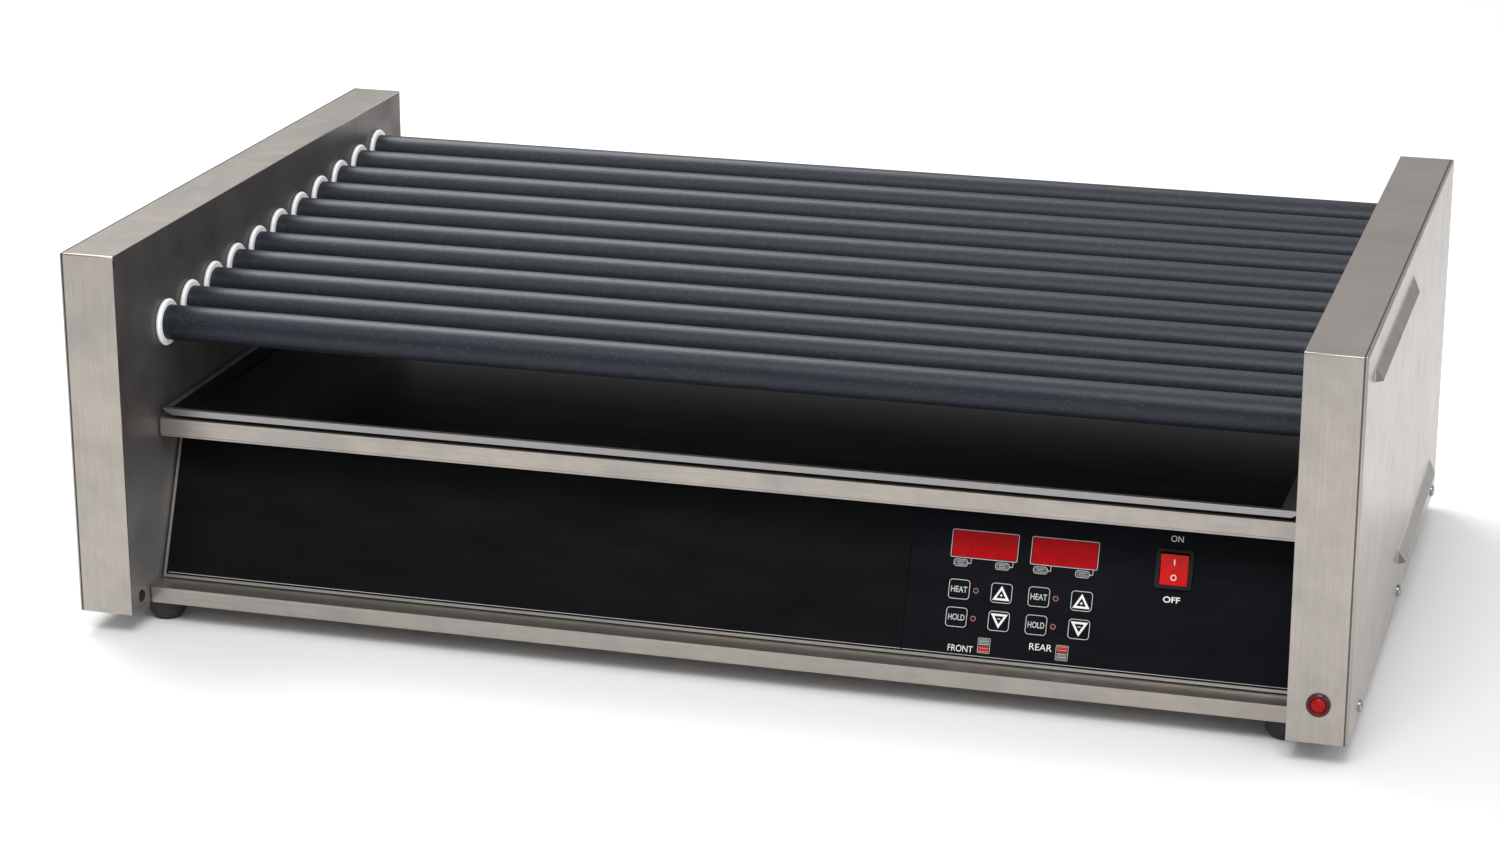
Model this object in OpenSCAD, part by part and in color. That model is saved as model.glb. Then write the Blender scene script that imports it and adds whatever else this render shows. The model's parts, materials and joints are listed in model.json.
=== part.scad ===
// Countertop hot dog roller grill: heated rollers carried between two end housings and
// turned together by a chain, over a drip tray and a base with a sloping control panel.
// +X is to the right of someone facing the controls, -Y is the front, +Z is up.
// The origin is on the table, under the middle of the grill.

/* [Body] */
// Width over the two side covers
body_w = 908; // [900:1:920]
// Depth of the end housings
body_d = 546; // [540:1:560]
// Height of the end housings above the feet
housing_h = 266; // [264:1:280]
// Width of each end housing
housing_w = 41; // [40:0.5:44]
// Height of the rubber feet
foot_h = 16; // [10:1:40]
// Radius of a foot at the top
foot_r = 13.5; // [10:0.5:16]
// Thickness of the covers, deck and base pan
sheet = 1.2; // [1:0.1:1.5]
// Thickness of the inner walls
wall_t = 1.5; // [1.2:0.1:2]
// Outside radius of the folds round the outer side of a cover
fold_r = 2.2; // [1.5:0.1:3]

/* [Rollers] */
// Number of rollers
roller_count = 11; // [11]
// Outside diameter of a roller
roller_d = 25.4; // [22:0.2:28]
// Distance between neighbouring rollers
roller_pitch = 41.275; // [41.275]
// Rise of the roller bed towards the back, in degrees
roller_tilt = 4.3; // [0:0.1:5]
// Middle of the roller bed, behind the front of the housings
bed_depth = 285; // [280:1:290]
// Middle of the roller bed, above the bottom of the housings
bed_height = 212.6; // [210:0.2:216]
// Diameter of the white seal around each roller end
seal_d = 34; // [32:0.5:38]
// How far a seal stands out of the inner wall
seal_proud = 3.5; // [2:0.5:5]

/* [Chain] */
// Pitch of the drive chain
chain_pitch = 6.35; // [6.35]
// Teeth on every sprocket
teeth = 16; // [16]
// Length of the run from an end roller to the motor, in links
side_links = 40.5; // [40.5]

/* [Base] */
// Height of the deck that the drip tray lies on, above the bottom of the housings
deck_height = 130.9; // [125:0.1:135]
// Depth of the skirt along the front of the deck
ledge_h = 13.2; // [8:0.1:20]
// Set-back of the deck's front edge from the front of the housings
ledge_back = 58; // [50:1:62]
// Set-back of the front rail
rail_back = 29.5; // [25:0.5:40]
// Height of the front rail
rail_h = 11.8; // [8:0.1:12]

/* [Control panel] */
// Lean of the panel back from upright, in degrees
panel_lean = 22.8; // [20:0.2:24]
// Set-back of the panel's bottom edge
panel_back = 49.4; // [48:0.1:54]
// Height of the panel's bottom edge
panel_rise = 12.7; // [12.7:0.1:16]
// Length of the panel up its slope
panel_len = 111.1; // [104:0.1:112]
// Travel of a membrane key
key_travel = 0.4; // [0.2:0.1:0.5]
// Tilt of the power rocker each way, in degrees
rocker_tilt = 8; // [6:1:9]

/* [Drip tray] */
// Height of the tray's rim above its underside
tray_h = 6.9; // [6:0.1:12]

/* [Hidden] */
$fn = 64;
x_out = body_w / 2;                 // outer face of a side cover
x_in = x_out - housing_w;           // face of an inner wall, towards the rollers
y_front = -body_d / 2;
y_back = body_d / 2;
z_top = foot_h + housing_h;
gap = 0.2;                          // clearance between fitted sheets
base_half = x_in - gap;             // half width of the deck and base pan
back_inset = 18;                    // back panel, in front of the housings' rear faces
y_rear = y_back - back_inset;       // outer face of the back panel
proud = 4;                          // how far the lamp and the cord inlet stand out
cut = 1;                            // how far a cutting shape passes beyond what it cuts

// Side covers
top_fold_r = 1.4;                   // folds between the top and the front and rear faces
seam_w = 0.5;                       // groove where the outer side meets the front, top and rear
louvre_depth = 5.5;
upper_louvre = [38, 265, 238, 249]; // from and to behind the front, from and to above the bottom
lower_louvre = [267, 484, 33, 44];
side_screws = [56, 283, 515];
side_screw_z = 7;
screw_hole_r = 2.2;
shank_r = 2;
screw_head = [4.5, 2.7];            // radius and height of a case screw's head
lamp_z = 27.3;
lamp_r = 8;
lamp_barrel_r = 6.2;
plug_at = [17.1, 9.1];
plug_r = 4.1;
wiring_hole = [300, 100];           // hole for the wires from an end housing into the base
wiring_hole_r = 9;
shaft_hole_r = 8;                   // hole in the left inner wall for the motor's shaft

// Rear
back_screws = [-380, 0, 380];
back_screw_z = 10;
inlet_at = [330, 45];               // cord inlet, across and above the bottom
inlet_r = 9;

// Rollers and their drive
row_half = (roller_count - 1) / 2 * roller_pitch;
tube_half = x_out - 34;             // end of the coated tube, inside the housing
journal_half = x_out - 17;          // end of the bare journal
journal_r = 9.5;
journal_bore = 6;
seal_body_r = 14.5;
seal_tail = 3;                      // seal body beyond the inner wall
rod_r = 4;
rod_half = x_out - 8;
bracket_at = 10;                    // heater bracket, in from the outer face of the cover
sprocket_x = -(x_out - 27);         // middle plane of the chain, in the left housing
sprocket_r = chain_pitch / (2 * sin(180 / teeth));
tooth_step = 360 / teeth;
sprocket_t = 2.8;
hub_l = 7;                          // how far a sprocket's hub reaches towards the rollers
motor_drop = sqrt(pow(side_links * chain_pitch, 2) - pow(row_half, 2));
shaft_r = 6;

// Chain path: over the rollers, round the front one, down to the motor and back up to the rear one
fall = atan2(motor_drop, row_half);
wrap_end = 180 - fall;
wrap_motor = 2 * fall;
top_links = 2 * row_half / chain_pitch;
at_front = top_links;
off_front = at_front + wrap_end / tooth_step;
at_motor = off_front + side_links;
off_motor = at_motor + wrap_motor / tooth_step;
at_rear = off_motor + side_links;
chain_links = round(at_rear + wrap_end / tooth_step);
chain_roller_r = 1.65;
chain_pin_r = 0.95;
plate_r = 2.6;                      // rounded ends of a link plate
plate_t = 0.75;
waist = 4;                          // width of a link plate between its ends

// Control panel
panel_half = 408.8;                 // leaves a shadow gap at each end of the panel
panel_t = 1.6;                      // black sheets and overlay
key_bottom = -2.2;                  // underside of a key, behind the panel's face
trim_w = 2;
seam_x = 141;                       // joint between the blank panel and the control overlay
zone_x = [192.2, 247.8];            // middle of the front and of the rear key set
display_size = [44.8, 17.8];
display_v = 79.4;
key_size = [15.4, 14.2];
key_step = [29.6, 19.2];
key_v = 38.4;                       // middle of the four keys, up the slope
led_x = -3.2;                       // indicator beside a left-hand key
led_r = 1.5;
switch_at = [323.4, 75.6];
switch_size = [25.4, 27];
switch_hole = [22.4, 24.4];
rocker_size = [18.8, 21.4];
rocker_pivot = -2.6;                // pivot, behind the panel's face
axle_r = 1.5;
ZONES = ["front", "rear"];
KEYS = ["heat", "up", "hold", "down"];

// Tray
tray_half = 409;
tray_front = 59.5;
tray_back = 517;
rim_w = 1.6;
basin_slope = 13;
tray_t = 1;
lip_bottom = 2.1;                   // lower edge of the front lip, above the tray's underside
lip_corner = [6.5, 3.8];            // corners cut off the lip's lower edge

function two_digits(n) = str(n < 10 ? "0" : "", n);
function roller_name(k) = str("roller_", two_digits(k));
function sprocket_name(k) = str("roller_sprocket_", two_digits(k));
function key_name(zone, key) = str(ZONES[zone], "_", KEYS[key], "_key");

// Distances behind the front of the housings and above their bottom edge, in the row's frame
function fy(d) = y_front + d;
function fz(h) = foot_h + h;
function roller_y(k) = (k - (roller_count + 1) / 2) * roller_pitch;
function polar(r, a) = [r * cos(a), r * sin(a)];

module on_both_sides() {
    children();
    mirror([1, 0, 0]) children();
}

// Places its children in the tilted plane of the roller axes, with X along the rollers
module roller_frame() {
    translate([0, fy(bed_depth), fz(bed_height)]) rotate([roller_tilt, 0, 0]) children();
}

// X along the panel, Y up its slope, Z out of its face
module panel_frame() {
    translate([0, fy(panel_back), fz(panel_rise)]) rotate([90 - panel_lean, 0, 0]) children();
}

module along_x(x) {
    translate([x, 0, 0]) rotate([0, 90, 0]) children();
}

module rounded_rect(size, r) {
    square([size.x - 2 * r, size.y], center = true);
    square([size.x, size.y - 2 * r], center = true);
    for (sx = [-1, 1], sy = [-1, 1]) {
        translate([sx * (size.x / 2 - r), sy * (size.y / 2 - r)]) circle(r);
    }
}

// Outline of a folded sheet whose two front corners are rounded
module front_rounded(half, y0, y1, corner) {
    translate([-half, y0 + corner]) square([2 * half, y1 - y0 - corner]);
    translate([corner - half, y0]) square([2 * (half - corner), corner + 1]);
    for (side = [-1, 1]) translate([side * (half - corner), y0 + corner]) circle(corner);
}

// Removes what lies outside a fold of radius r that runs along +Z, with its corner at +X, -Y
module fold_cut(r, length) {
    translate([-r, r, -cut])
        difference() {
            translate([0, -r - cut, 0]) cube([r + cut, r + cut, length + 2 * cut]);
            cylinder(r = r, h = length + 2 * cut);
        }
}

// Hood of a louvre pressed outwards: furthest out along its open lower edge, with sloping ends
module louvre_hood(length, height, depth, root) {
    intersection() {
        translate([0, length, 0])
            rotate([90, 0, 0])
                linear_extrude(length)
                    polygon([[-root, 0], [depth, 0], [depth, 0.8], [0, height], [-root, height]]);
        linear_extrude(height)
            polygon([
                [-root, 0], [0, 0], [depth, depth], [depth, length - depth], [0, length], [-root, length]
            ]);
    }
}

module louvre_at(place, inset) {
    translate([x_out, fy(place[0]) + inset, fz(place[2])])
        louvre_hood(
            place[1] - place[0] - 2 * inset, place[3] - place[2] - 1.5 * inset, louvre_depth - inset,
            sheet + inset
        );
}

// Everything outside the folds of a cover, and the seam round its outer side
module cover_rounding() {
    translate([x_out, y_front, foot_h]) fold_cut(fold_r, housing_h);
    translate([x_out, y_back, foot_h]) mirror([0, 1, 0]) fold_cut(fold_r, housing_h);
    translate([x_out, y_back, z_top]) rotate([90, 0, 0]) mirror([0, 1, 0]) fold_cut(fold_r, body_d);
    translate([x_in, y_front, z_top]) rotate([0, 90, 0]) mirror([1, 0, 0]) fold_cut(top_fold_r, housing_w);
    translate([x_in, y_back, z_top])
        rotate([0, 90, 0]) mirror([1, 0, 0]) mirror([0, 1, 0]) fold_cut(top_fold_r, housing_w);
    translate([x_out - fold_r - seam_w, 0, 0])
        difference() {
            translate([0, y_front - cut, foot_h - cut]) cube([seam_w, body_d + 2 * cut, housing_h + 2 * cut]);
            translate([-cut, y_front + seam_w, foot_h - 2 * cut])
                cube([seam_w + 2 * cut, body_d - 2 * seam_w, housing_h - seam_w + 2 * cut]);
        }
}

// Stainless skin round the front, top, rear and outer side of the right housing
module side_cover(with_lamp) {
    difference() {
        union() {
            difference() {
                translate([x_in, y_front, foot_h]) cube([housing_w, body_d, housing_h]);
                translate([x_in - cut, y_front + sheet, foot_h - cut])
                    cube([housing_w - sheet + cut, body_d - 2 * sheet, housing_h - sheet + cut]);
                cover_rounding();
            }
            louvre_at(upper_louvre, 0);
            louvre_at(lower_louvre, 0);
        }
        translate([0, 0, -0.01]) louvre_at(upper_louvre, sheet);
        translate([0, 0, -0.01]) louvre_at(lower_louvre, sheet);
        for (d = side_screws) {
            translate([0, fy(d), fz(side_screw_z)]) along_x(x_out - 5) cylinder(r = screw_hole_r, h = 10);
        }
        if (with_lamp) {
            translate([x_out - housing_w / 2, y_front - 5, fz(lamp_z)])
                rotate([-90, 0, 0]) cylinder(r = lamp_barrel_r + 0.1, h = 10);
        }
    }
}

module left_side_cover() {
    color([0.67, 0.65, 0.62]) mirror([1, 0, 0]) side_cover(false);
}

module right_side_cover() {
    color([0.67, 0.65, 0.62]) side_cover(true);
}

// Inner wall with the flange that closes the bottom of its housing and takes the side screws
module inner_wall(shaft_hole) {
    y0 = y_front + sheet + gap;
    y1 = y_back - sheet - gap;
    flange_x = x_out - sheet - gap;
    lip_h = 14;
    relief = [6, 7];        // depth and height cut away at the top front corner
    difference() {
        union() {
            translate([x_in, y0, foot_h]) cube([wall_t, y1 - y0, housing_h - sheet - gap]);
            translate([x_in, y0, foot_h]) cube([flange_x - x_in, y1 - y0, wall_t]);
            translate([flange_x - wall_t, y0, foot_h]) cube([wall_t, y1 - y0, lip_h]);
        }
        roller_frame() {
            for (k = [1:roller_count]) {
                translate([0, roller_y(k), 0]) along_x(x_in - 2) cylinder(r = seal_body_r + 0.1, h = 6);
            }
            if (shaft_hole) {
                translate([0, 0, -motor_drop]) along_x(x_in - 2) cylinder(r = shaft_hole_r, h = 6);
            }
        }
        for (d = side_screws) {
            translate([0, fy(d), fz(side_screw_z)]) along_x(x_out - 6) cylinder(r = shank_r + 0.05, h = 5);
        }
        translate([0, fy(plug_at.x), fz(plug_at.y)]) along_x(x_in - 2) cylinder(r = plug_r + 0.1, h = 6);
        translate([0, fy(wiring_hole.x), fz(wiring_hole.y)])
            along_x(x_in - 2) cylinder(r = wiring_hole_r, h = 6);
        translate([x_in - cut, y0 - relief.x / 2, z_top - sheet - gap - relief.y])
            cube([wall_t + 2 * cut, relief.x, relief.y + cut]);
    }
}

module left_inner_wall() {
    color([0.62, 0.6, 0.58]) mirror([1, 0, 0]) inner_wall(true);
}

module right_inner_wall() {
    color([0.62, 0.6, 0.58]) inner_wall(false);
}

// Bottom sheet, folded up into a box rail along the front and into flanges at the sides and back
module base_pan() {
    corner = 2.5;
    rail_end = rail_back + 26;
    flange_h = 24;
    flange_start = rail_end + 7;    // the side flanges start behind the control panel
    vent = [60, 6];
    color([0.67, 0.65, 0.62]) {
        difference() {
            translate([0, 0, foot_h])
                linear_extrude(rail_h) front_rounded(base_half, fy(rail_back), fy(rail_end), corner);
            translate([0, 0, foot_h + sheet])
                linear_extrude(rail_h - 2 * sheet)
                    front_rounded(
                        base_half - sheet, fy(rail_back + sheet), fy(rail_end + 1), corner - sheet
                    );
        }
        difference() {
            translate([-base_half, fy(rail_end) - 1, foot_h])
                cube([2 * base_half, y_rear - sheet - gap - fy(rail_end) + 1, flange_h]);
            translate([sheet - base_half, fy(rail_end) - 2, foot_h + sheet])
                cube([2 * (base_half - sheet), y_rear - 2 * sheet - gap - fy(rail_end) + 2, flange_h]);
            translate([0, 0, foot_h])
                for (x = [-300:100:300], d = [200, 350])
                    translate([x, fy(d), -cut]) linear_extrude(sheet + 2 * cut) rounded_rect(vent, 2.9);
            back_screw_holes(shank_r + 0.1);
            translate([-base_half - cut, fy(rail_end) - 2, foot_h + rail_h])
                cube([2 * (base_half + cut), flange_start - rail_end + 2, flange_h]);
        }
    }
}

// Deck under the drip tray: its front skirt is the ledge above the control panel
module top_deck() {
    corner = 2.5;
    return_w = [12, 10];    // width of the skirt's returns under the deck, at the sides and in front
    y1 = y_rear - sheet - gap;
    color([0.67, 0.65, 0.62])
        difference() {
            translate([0, 0, fz(deck_height - ledge_h)])
                linear_extrude(ledge_h) front_rounded(base_half, fy(ledge_back), y1, corner);
            translate([0, 0, fz(deck_height - ledge_h + sheet)])
                linear_extrude(ledge_h - 2 * sheet)
                    front_rounded(base_half - sheet, fy(ledge_back + sheet), y1 + 1, corner - sheet);
            translate([return_w.x - base_half, fy(ledge_back + return_w.y), fz(deck_height - ledge_h) - cut])
                cube([2 * (base_half - return_w.x), y1 - fy(ledge_back), sheet + 2 * cut]);
        }
}

module back_screw_holes(r) {
    for (x = back_screws) {
        translate([x, y_rear - 6, fz(back_screw_z)]) rotate([-90, 0, 0]) cylinder(r = r, h = 8);
    }
}

module back_panel() {
    height = 190;
    slot = [38, 5];
    color([0.62, 0.6, 0.58])
        difference() {
            translate([-base_half, y_rear - sheet, fz(sheet + gap)])
                cube([2 * base_half, sheet, height]);
            back_screw_holes(screw_hole_r);
            translate([inlet_at.x, y_rear - 5, fz(inlet_at.y)])
                rotate([-90, 0, 0]) cylinder(r = inlet_r + 0.1, h = 10);
            // Cooling slots for the base
            for (x = [-300:50:150], h = [50, 65, 80]) {
                translate([x, y_rear + 1, fz(h)])
                    rotate([90, 0, 0]) linear_extrude(sheet + 2) rounded_rect(slot, 2.4);
            }
        }
}

module foot() {
    rotate_extrude()
        polygon([
            [0, 3], [3, 3], [3, 0], [foot_r - 4.5, 0], [foot_r - 3.7, 0.5], [foot_r - 0.3, 5.5],
            [foot_r, 6.5], [foot_r, foot_h], [0, foot_h]
        ]);
}

module feet() {
    color([0.08, 0.08, 0.08])
        for (x = [-1, 1], d = [47, 500]) {
            translate([x * (x_out - 47), fy(d), 0]) foot();
        }
}

// Pan head screw along +Z, head outwards
module screw(head_r, head_h, shank_r, shank_l) {
    rotate_extrude()
        polygon([
            [0, -shank_l], [shank_r - 0.4, -shank_l], [shank_r, 0.4 - shank_l], [shank_r, 0],
            [head_r, 0], [head_r, head_h * 0.45], [head_r * 0.72, head_h * 0.88], [0, head_h]
        ]);
}

module case_screw() {
    recess = [5, 1.1, 1.4];
    length = 8;
    difference() {
        screw(screw_head.x, screw_head.y, shank_r, length);
        for (turn = [0, 90]) {
            rotate(turn)
                translate([-recess.x / 2, -recess.y / 2, screw_head.y - recess.z])
                    cube(recess + [0, 0, cut]);
        }
    }
}

module screws() {
    color([0.75, 0.75, 0.75]) {
        on_both_sides()
            for (d = side_screws) {
                translate([x_out, fy(d), fz(side_screw_z)]) rotate([0, 90, 0]) case_screw();
            }
        for (x = back_screws) translate([x, y_rear, fz(back_screw_z)]) rotate([-90, 0, 0]) case_screw();
    }
}

module hole_plugs() {
    color([0.05, 0.05, 0.05])
        on_both_sides()
            translate([x_in, fy(plug_at.x), fz(plug_at.y)])
                rotate([0, 90, 0])
                    rotate_extrude()
                        polygon([[0, -1], [3.6, -1], [4.6, 0], [plug_r, 0], [plug_r, 4], [0, 4]]);
}

// Strain-relief gland that an electric cord would leave by
module cord_inlet() {
    nose = back_inset + proud;
    bore = 4.5;
    color([0.1, 0.1, 0.1])
        translate([inlet_at.x, y_rear, fz(inlet_at.y)])
            rotate([-90, 0, 0])
                rotate_extrude()
                    polygon([
                        [bore, -14], [8.9, -14], [8.9, -5], [12, -5], [12, -2], [inlet_r, -2], [inlet_r, 0],
                        [14, 0], [14, 3], [11, 5], [8, nose - 1], [7, nose], [bore, nose]
                    ]);
}

// Steel plate that carries everything on the sloping front
module panel_backing() {
    foot = 0.7;     // how far above the panel's bottom edge it starts, to clear the front rail
    color([0.1, 0.1, 0.1])
        panel_frame()
            difference() {
                translate([-panel_half, foot, -panel_t - sheet])
                    cube([2 * panel_half, panel_len - foot, sheet]);
                control_cutouts(0.4, -10, 10);
                translate([switch_at.x, switch_at.y, -10])
                    linear_extrude(10) square(switch_hole, center = true);
            }
}

// Thin bright frame along the bottom and sides of the black panel
module panel_trim() {
    color([0.75, 0.74, 0.72])
        panel_frame()
            translate([0, 0, -panel_t])
                linear_extrude(panel_t + 0.2)
                    difference() {
                        translate([-panel_half - trim_w, 0])
                            square([2 * (panel_half + trim_w), panel_len]);
                        translate([-panel_half, trim_w]) square([2 * panel_half, panel_len]);
                    }
}

// Openings for the displays, keys and indicators, shared by the overlay and the backing
module control_cutouts(grow, from, depth) {
    translate([0, 0, from])
        linear_extrude(depth)
            for (zone = [0:1]) translate([zone_x[zone], 0]) {
                translate([0, display_v])
                    square([display_size.x + 2 * grow, display_size.y + 2 * grow], center = true);
                for (key = [0:3]) {
                    translate(key_place(key))
                        rounded_rect([key_size.x + 2 * grow, key_size.y + 2 * grow], 2);
                }
                for (row = [0, 1]) translate([led_x, key_v + (row - 0.5) * key_step.y]) circle(led_r + grow);
            }
}

// Heat and up are the upper keys, hold and down the lower ones
function key_place(key) = [
    (key % 2 - 0.5) * key_step.x,
    key_v + (key < 2 ? 0.5 : -0.5) * key_step.y
];

module black_sheet(x0, x1) {
    translate([x0, trim_w + gap, -panel_t])
        cube([x1 - x0, panel_len - trim_w - gap, panel_t]);
}

module blank_panel() {
    color([0.06, 0.06, 0.07])
        panel_frame() black_sheet(gap - panel_half, seam_x - gap);
}

module control_overlay() {
    color([0.04, 0.04, 0.06])
        panel_frame()
            difference() {
                black_sheet(seam_x + gap, panel_half - gap);
                control_cutouts(0.25, -5, 10);
                translate([switch_at.x, switch_at.y, -5])
                    linear_extrude(10) square(switch_hole, center = true);
            }
}

module display_windows() {
    color([0.75, 0.05, 0.08])
        panel_frame()
            for (zone = [0:1]) {
                translate([zone_x[zone], display_v, -panel_t])
                    linear_extrude(panel_t - 0.1) square(display_size, center = true);
            }
}

module indicator_leds() {
    color([0.6, 0.05, 0.05])
        panel_frame()
            for (zone = [0:1], row = [0, 1]) {
                translate([zone_x[zone] + led_x, key_v + (row - 0.5) * key_step.y, -9])
                    cylinder(r = led_r, h = 9);
            }
}

// Circuit board behind the overlay, with the two digit displays and the key switches soldered on
module control_board() {
    board_z = -10.6;
    board_t = 1.6;
    board_at = [160, 12];
    board_size = [130, 88];
    module_size = [40, 15, 6];      // a digit display
    switch_body = [6, 6, 4];
    stem_r = 1.6;
    stem_h = key_bottom - key_travel - 0.05 - board_z - board_t;
    relay = [26, 20, 16];
    transformer = [36, 30, 24];
    connector = [24, 10, 12];
    color([0.1, 0.35, 0.2])
        panel_frame()
            difference() {
                union() {
                    translate([board_at.x, board_at.y, board_z])
                        cube([board_size.x, board_size.y, board_t]);
                    for (zone = [0:1]) translate([zone_x[zone], 0, board_z + board_t]) {
                        translate([-module_size.x / 2, display_v - module_size.y / 2, 0]) cube(module_size);
                        for (key = [0:3]) translate(key_place(key)) {
                            translate([-switch_body.x / 2, -switch_body.y / 2, 0]) cube(switch_body);
                            cylinder(r = stem_r, h = stem_h);
                        }
                    }
                    translate([176, 20, board_z - relay.z]) cube(relay + [0, 0, 1]);
                    translate([214, 18, board_z - transformer.z]) cube(transformer + [0, 0, 1]);
                    translate([258, 20, board_z - connector.z]) cube(connector + [0, 0, 1]);
                }
                for (zone = [0:1], row = [0, 1]) {
                    translate([zone_x[zone] + led_x, key_v + (row - 0.5) * key_step.y, board_z - 1])
                        cylinder(r = led_r + 0.1, h = 4);
                }
            }
}

module membrane_key(zone, key) {
    color([0.05, 0.05, 0.07])
        panel_frame()
            translate([zone_x[zone], 0, key_bottom])
                linear_extrude(0.5 - key_bottom) translate(key_place(key)) rounded_rect(key_size, 2);
}

// Frame and body of the power switch, open at the front for the rocker
module rocker_bezel() {
    cavity = [rocker_size.x + 0.8, rocker_size.y + 1.4];
    body = [switch_hole.x - 0.6, switch_hole.y - 0.6];
    body_deep = 20;
    cavity_deep = 14;
    blade = [6.2, 0.8, 9];          // terminals behind the body
    color([0.05, 0.05, 0.05])
        panel_frame()
            translate([switch_at.x, switch_at.y, 0])
                difference() {
                    union() {
                        linear_extrude(2) rounded_rect(switch_size, 1.5);
                        translate([0, 0, -body_deep])
                            linear_extrude(body_deep + 1) square(body, center = true);
                        for (v = [-7, 0, 7]) {
                            translate([-blade.x / 2, v - blade.y / 2, -body_deep - blade.z])
                                cube(blade + [0, 0, 1]);
                        }
                    }
                    translate([0, 0, -cavity_deep]) linear_extrude(20) square(cavity, center = true);
                    translate([0, 0, rocker_pivot]) along_x(-20) cylinder(r = axle_r + 0.05, h = 40);
                }
}

// Red rocker, stored in the off position with its upper end out
module rocker() {
    half = rocker_size.y / 2;
    color([0.85, 0.05, 0.05])
        panel_frame()
            translate([switch_at.x, switch_at.y, rocker_pivot])
                rotate([rocker_tilt, 0, 0]) {
                    rotate([90, 0, 90])
                        translate([0, 0, -rocker_size.x / 2])
                            linear_extrude(rocker_size.x)
                                polygon([
                                    [-half + 0.4, -4], [-half + 0.2, 5], [0, 3.6], [half - 0.2, 5],
                                    [half - 0.4, -4], [3, -8], [-3, -8]
                                ]);
                    along_x(-rocker_size.x / 2 - 1) cylinder(r = axle_r, h = rocker_size.x + 2);
                }
}

module pilot_lamp_bezel() {
    color([0.35, 0.03, 0.03])
        translate([x_out - housing_w / 2, y_front, fz(lamp_z)])
            rotate([90, 0, 0])
                rotate_extrude()
                    polygon([
                        [5.2, -20], [lamp_barrel_r, -20], [lamp_barrel_r, 0], [lamp_r, 0], [lamp_r, 1.4],
                        [lamp_r - 1, 2.4], [5.8, 2.4], [5.2, 1.8]
                    ]);
}

module pilot_lamp_lens() {
    dome_h = 2.2;
    lens_r = 5.1;
    dome_r = (lens_r * lens_r + dome_h * dome_h) / (2 * dome_h);
    color([0.9, 0.05, 0.05])
        translate([x_out - housing_w / 2, y_front, fz(lamp_z)])
            rotate([90, 0, 0])
                intersection() {
                    translate([0, 0, -12]) cylinder(r = lens_r, h = 12 + proud);
                    union() {
                        translate([0, 0, -12]) cylinder(r = lens_r + 1, h = 12 + proud - dome_h);
                        translate([0, 0, proud - dome_r]) sphere(dome_r);
                    }
                }
}

module tray_basin(shrink, up) {
    top = [tray_half - rim_w - shrink, tray_front + rim_w + shrink, tray_back - rim_w - shrink];
    low = [top[0] - basin_slope, top[1] + basin_slope, top[2] - basin_slope];
    h = tray_h - 0.4;
    intersection() {
        translate([0, fy(tray_back + 10), 0])
            rotate([90, 0, 0])
                linear_extrude(tray_back)
                    polygon([
                        [-low[0], up], [low[0], up], [top[0], h + up], [top[0], h + 5],
                        [-top[0], h + 5], [-top[0], h + up]
                    ]);
        rotate([90, 0, 90])
            translate([0, 0, -x_in])
                linear_extrude(2 * x_in)
                    polygon([
                        [fy(low[1]), up], [fy(low[2]), up], [fy(top[2]), h + up], [fy(top[2]), h + 5],
                        [fy(top[1]), h + 5], [fy(top[1]), h + up]
                    ]);
    }
}

// Shallow tray with sloping sides, a flat rim and a lip folded down along the front
module drip_tray() {
    rim_z = tray_h - tray_t;
    lip_half = tray_half - lip_corner.x;
    color([0.12, 0.12, 0.13])
        translate([0, 0, fz(deck_height + 0.4)])
            difference() {
                union() {
                    intersection() {
                        tray_basin(0, 0);
                        translate([-x_in, y_front, 0]) cube([2 * x_in, body_d, rim_z]);
                    }
                    translate([-tray_half, fy(tray_front), rim_z])
                        cube([2 * tray_half, tray_back - tray_front, tray_t]);
                    translate([0, fy(tray_front) + tray_t, 0])
                        rotate([90, 0, 0])
                            linear_extrude(tray_t)
                                polygon([
                                    [-lip_half, lip_bottom], [lip_half, lip_bottom],
                                    [tray_half, lip_bottom + lip_corner.y], [tray_half, tray_h],
                                    [-tray_half, tray_h], [-tray_half, lip_bottom + lip_corner.y]
                                ]);
                }
                tray_basin(tray_t, tray_t);
            }
}

// White bush and seal in the inner wall, with a full-round rim
module roller_seal() {
    rim = seal_proud / 2;
    bore = roller_d / 2 + 0.05;
    along_x(x_in)
        rotate_extrude()
            difference() {
                union() {
                    translate([0, -seal_proud]) square([seal_d / 2 - rim, seal_proud]);
                    translate([seal_d / 2 - rim, -rim]) circle(rim);
                    square([seal_body_r, wall_t + seal_tail]);
                }
                translate([-1, -50]) square([bore + 1, 100]);
            }
}

module roller_seals() {
    roller_frame() for (k = [1:roller_count]) translate([0, roller_y(k), 0]) roller_seal();
}

module left_roller_seals() {
    color([0.93, 0.93, 0.92]) mirror([1, 0, 0]) roller_seals();
}

module right_roller_seals() {
    color([0.93, 0.93, 0.92]) roller_seals();
}

// Coated tube with a bare journal at each end, hollow for its heating rod
module roller(k) {
    r = roller_d / 2;
    tube_bore = r - 1.7;
    plug = 3;
    color([0.2, 0.22, 0.25])
        roller_frame()
            translate([0, roller_y(k), 0])
                along_x(0)
                    rotate_extrude()
                        polygon([
                            [journal_bore, -journal_half], [journal_r, -journal_half],
                            [journal_r, -tube_half], [r, -tube_half], [r, tube_half],
                            [journal_r, tube_half], [journal_r, journal_half],
                            [journal_bore, journal_half], [journal_bore, tube_half - plug],
                            [tube_bore, tube_half - plug], [tube_bore, plug - tube_half],
                            [journal_bore, plug - tube_half]
                        ]);
}

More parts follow.
